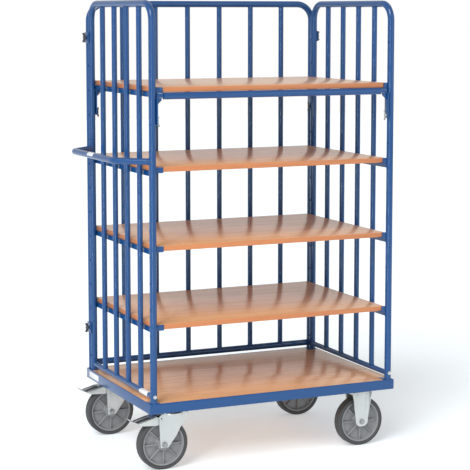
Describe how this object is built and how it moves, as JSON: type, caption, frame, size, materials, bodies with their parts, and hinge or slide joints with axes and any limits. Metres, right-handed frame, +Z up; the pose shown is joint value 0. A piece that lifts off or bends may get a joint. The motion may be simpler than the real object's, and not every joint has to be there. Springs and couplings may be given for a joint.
{
  "type": "shelved roll container",
  "caption": "Wheeled shelf trolley with barred end walls and back wall, open on one long side, with wood shelves, a push handle and braked swivel casters.",
  "frame": {"origin": "middle of the outer box on the floor plane", "axes": "+X from the handle end to the fixed-caster end, +Y from the open loading side to the back wall, +Z up"},
  "size_m": [1.1825, 0.7268, 1.8],
  "materials": {
    "blue_paint": "satin powder coat",
    "beech_board": "satin beech laminate on chipboard",
    "zinc_plate": "bright zinc plating",
    "grey_rubber": "matt solid rubber",
    "grey_nylon": "moulded grey nylon"
  },
  "bodies": {
    "chassis": {"deck_frame": "blue_paint", "deck_board": "beech_board", "left_end_wall": "blue_paint", "right_end_wall": "blue_paint", "back_wall": "blue_paint", "push_handle": "blue_paint", "shelf_1_board": "beech_board", "shelf_1_rail_left": "blue_paint", "shelf_1_rail_right": "blue_paint", "shelf_2_board": "beech_board", "shelf_2_rail_left": "blue_paint", "shelf_2_rail_right": "blue_paint", "shelf_3_board": "beech_board", "shelf_3_rail_left": "blue_paint", "shelf_3_rail_right": "blue_paint", "shelf_4_board": "beech_board", "shelf_4_rail_left": "blue_paint", "shelf_4_rail_right": "blue_paint", "top_cross_tube": "blue_paint", "hanger_front_left": "blue_paint", "hanger_nut_front_left": "zinc_plate", "hanger_front_right": "blue_paint", "hanger_nut_front_right": "zinc_plate", "hanger_rear_left": "blue_paint", "hanger_nut_rear_left": "zinc_plate", "hanger_rear_right": "blue_paint", "hanger_nut_rear_right": "zinc_plate", "wall_lug_lower_left": "blue_paint", "wall_nut_lower_left": "zinc_plate", "wall_lug_lower_right": "blue_paint", "wall_nut_lower_right": "zinc_plate", "wall_lug_upper_left": "blue_paint", "wall_nut_upper_left": "zinc_plate", "wall_lug_upper_right": "blue_paint", "wall_nut_upper_right": "zinc_plate", "foot_bolt_left": "zinc_plate", "foot_bolt_right": "zinc_plate", "caster_plate_front_left": "zinc_plate", "caster_plate_rear_left": "zinc_plate", "caster_plate_front_right": "zinc_plate", "fork_front_right": "zinc_plate", "axle_front_right": "zinc_plate", "caster_plate_rear_right": "zinc_plate", "fork_rear_right": "zinc_plate", "axle_rear_right": "zinc_plate"},
    "swivel_front_left": {"fork_front_left": "zinc_plate", "axle_front_left": "zinc_plate"},
    "wheel_front_left": {"rim_front_left": "grey_nylon", "tyre_front_left": "grey_rubber"},
    "pedal_front_left": {"brake_pedal_front_left": "zinc_plate"},
    "swivel_rear_left": {"fork_rear_left": "zinc_plate", "axle_rear_left": "zinc_plate"},
    "wheel_rear_left": {"rim_rear_left": "grey_nylon", "tyre_rear_left": "grey_rubber"},
    "pedal_rear_left": {"brake_pedal_rear_left": "zinc_plate"},
    "wheel_front_right": {"rim_front_right": "grey_nylon", "tyre_front_right": "grey_rubber"},
    "wheel_rear_right": {"rim_rear_right": "grey_nylon", "tyre_rear_right": "grey_rubber"}
  },
  "joints": [
    {"name": "swivel_turn_front_left", "type": "hinge", "parent": "chassis", "child": "swivel_front_left", "pos_m": [-0.36525, -0.284, 0.222], "axis": [0, 0, 1], "continuous": true},
    {"name": "wheel_spin_front_left", "type": "hinge", "parent": "swivel_front_left", "child": "wheel_front_left", "pos_m": [-0.40625, -0.284, 0.1], "axis": [0, 1, 0], "continuous": true},
    {"name": "pedal_press_front_left", "type": "hinge", "parent": "swivel_front_left", "child": "pedal_front_left", "pos_m": [-0.41975, -0.284, 0.204], "axis": [0, -1, 0], "range_deg": [0, 12]},
    {"name": "swivel_turn_rear_left", "type": "hinge", "parent": "chassis", "child": "swivel_rear_left", "pos_m": [-0.36525, 0.3, 0.222], "axis": [0, 0, 1], "continuous": true},
    {"name": "wheel_spin_rear_left", "type": "hinge", "parent": "swivel_rear_left", "child": "wheel_rear_left", "pos_m": [-0.40625, 0.3, 0.1], "axis": [0, 1, 0], "continuous": true},
    {"name": "pedal_press_rear_left", "type": "hinge", "parent": "swivel_rear_left", "child": "pedal_rear_left", "pos_m": [-0.41975, 0.3, 0.204], "axis": [0, -1, 0], "range_deg": [0, 12]},
    {"name": "wheel_spin_front_right", "type": "hinge", "parent": "chassis", "child": "wheel_front_right", "pos_m": [0.45775, -0.279, 0.1], "axis": [0, 1, 0], "continuous": true},
    {"name": "wheel_spin_rear_right", "type": "hinge", "parent": "chassis", "child": "wheel_rear_right", "pos_m": [0.45775, 0.279, 0.1], "axis": [0, 1, 0], "continuous": true}
  ]
}
